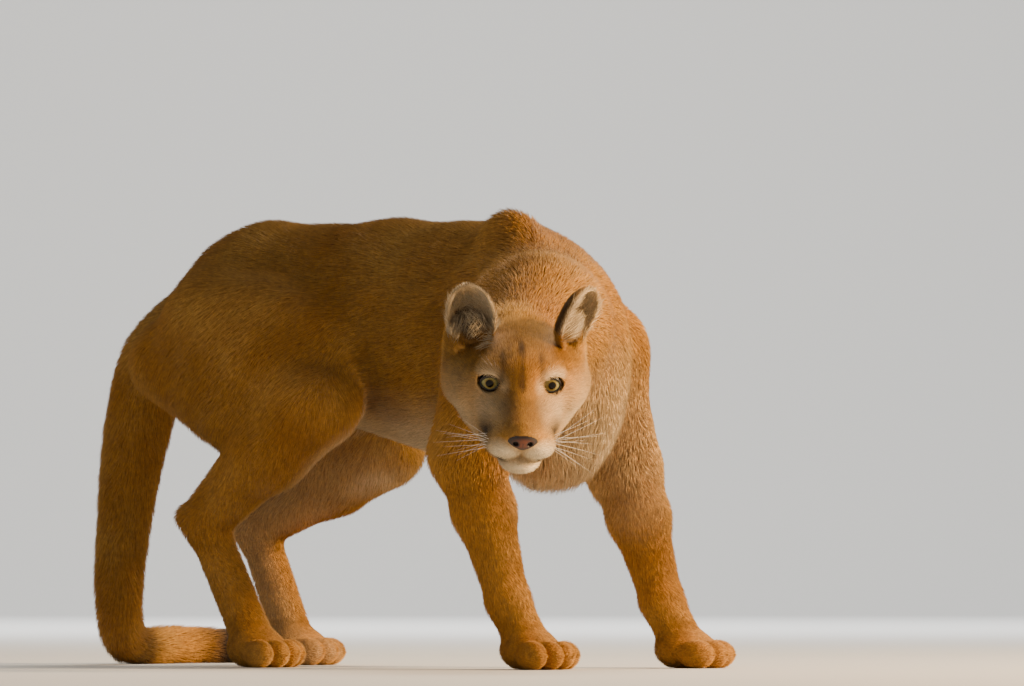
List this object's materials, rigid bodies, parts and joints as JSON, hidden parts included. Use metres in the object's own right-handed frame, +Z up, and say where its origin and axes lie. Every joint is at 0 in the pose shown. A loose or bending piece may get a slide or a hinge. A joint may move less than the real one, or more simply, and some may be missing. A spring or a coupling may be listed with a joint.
{
  "type": "life-size cougar model",
  "caption": "Standing cougar, head lowered and turned to its right, legs set apart for balance, long tail laid on the floor behind it.",
  "frame": {"origin": "on the floor, under the middle of the animal's bounding box", "axes": "+Z up, -Y the way that the trunk faces, -X the animal's right side"},
  "size_m": [0.6404, 0.9744, 0.5964],
  "materials": {
    "coat": "short tawny fur",
    "ear": "thin furred skin",
    "eye": "clear and wet",
    "nose": "bare damp skin"
  },
  "bodies": {
    "root": {"torso": "coat", "neck": "coat", "head": "coat", "ear_left": "ear", "ear_right": "ear", "eye_left": "eye", "eye_right": "eye", "nose": "nose", "foreleg_left_upper": "coat", "foreleg_left_lower": "coat", "forepaw_left": "coat", "foreleg_right_upper": "coat", "foreleg_right_lower": "coat", "forepaw_right": "coat", "hindleg_left_thigh": "coat", "hindleg_left_shank": "coat", "hindpaw_left": "coat", "hindleg_right_thigh": "coat", "hindleg_right_shank": "coat", "hindpaw_right": "coat", "tail_base": "coat", "tail_middle": "coat", "tail_end": "coat"}
  },
  "joints": []
}
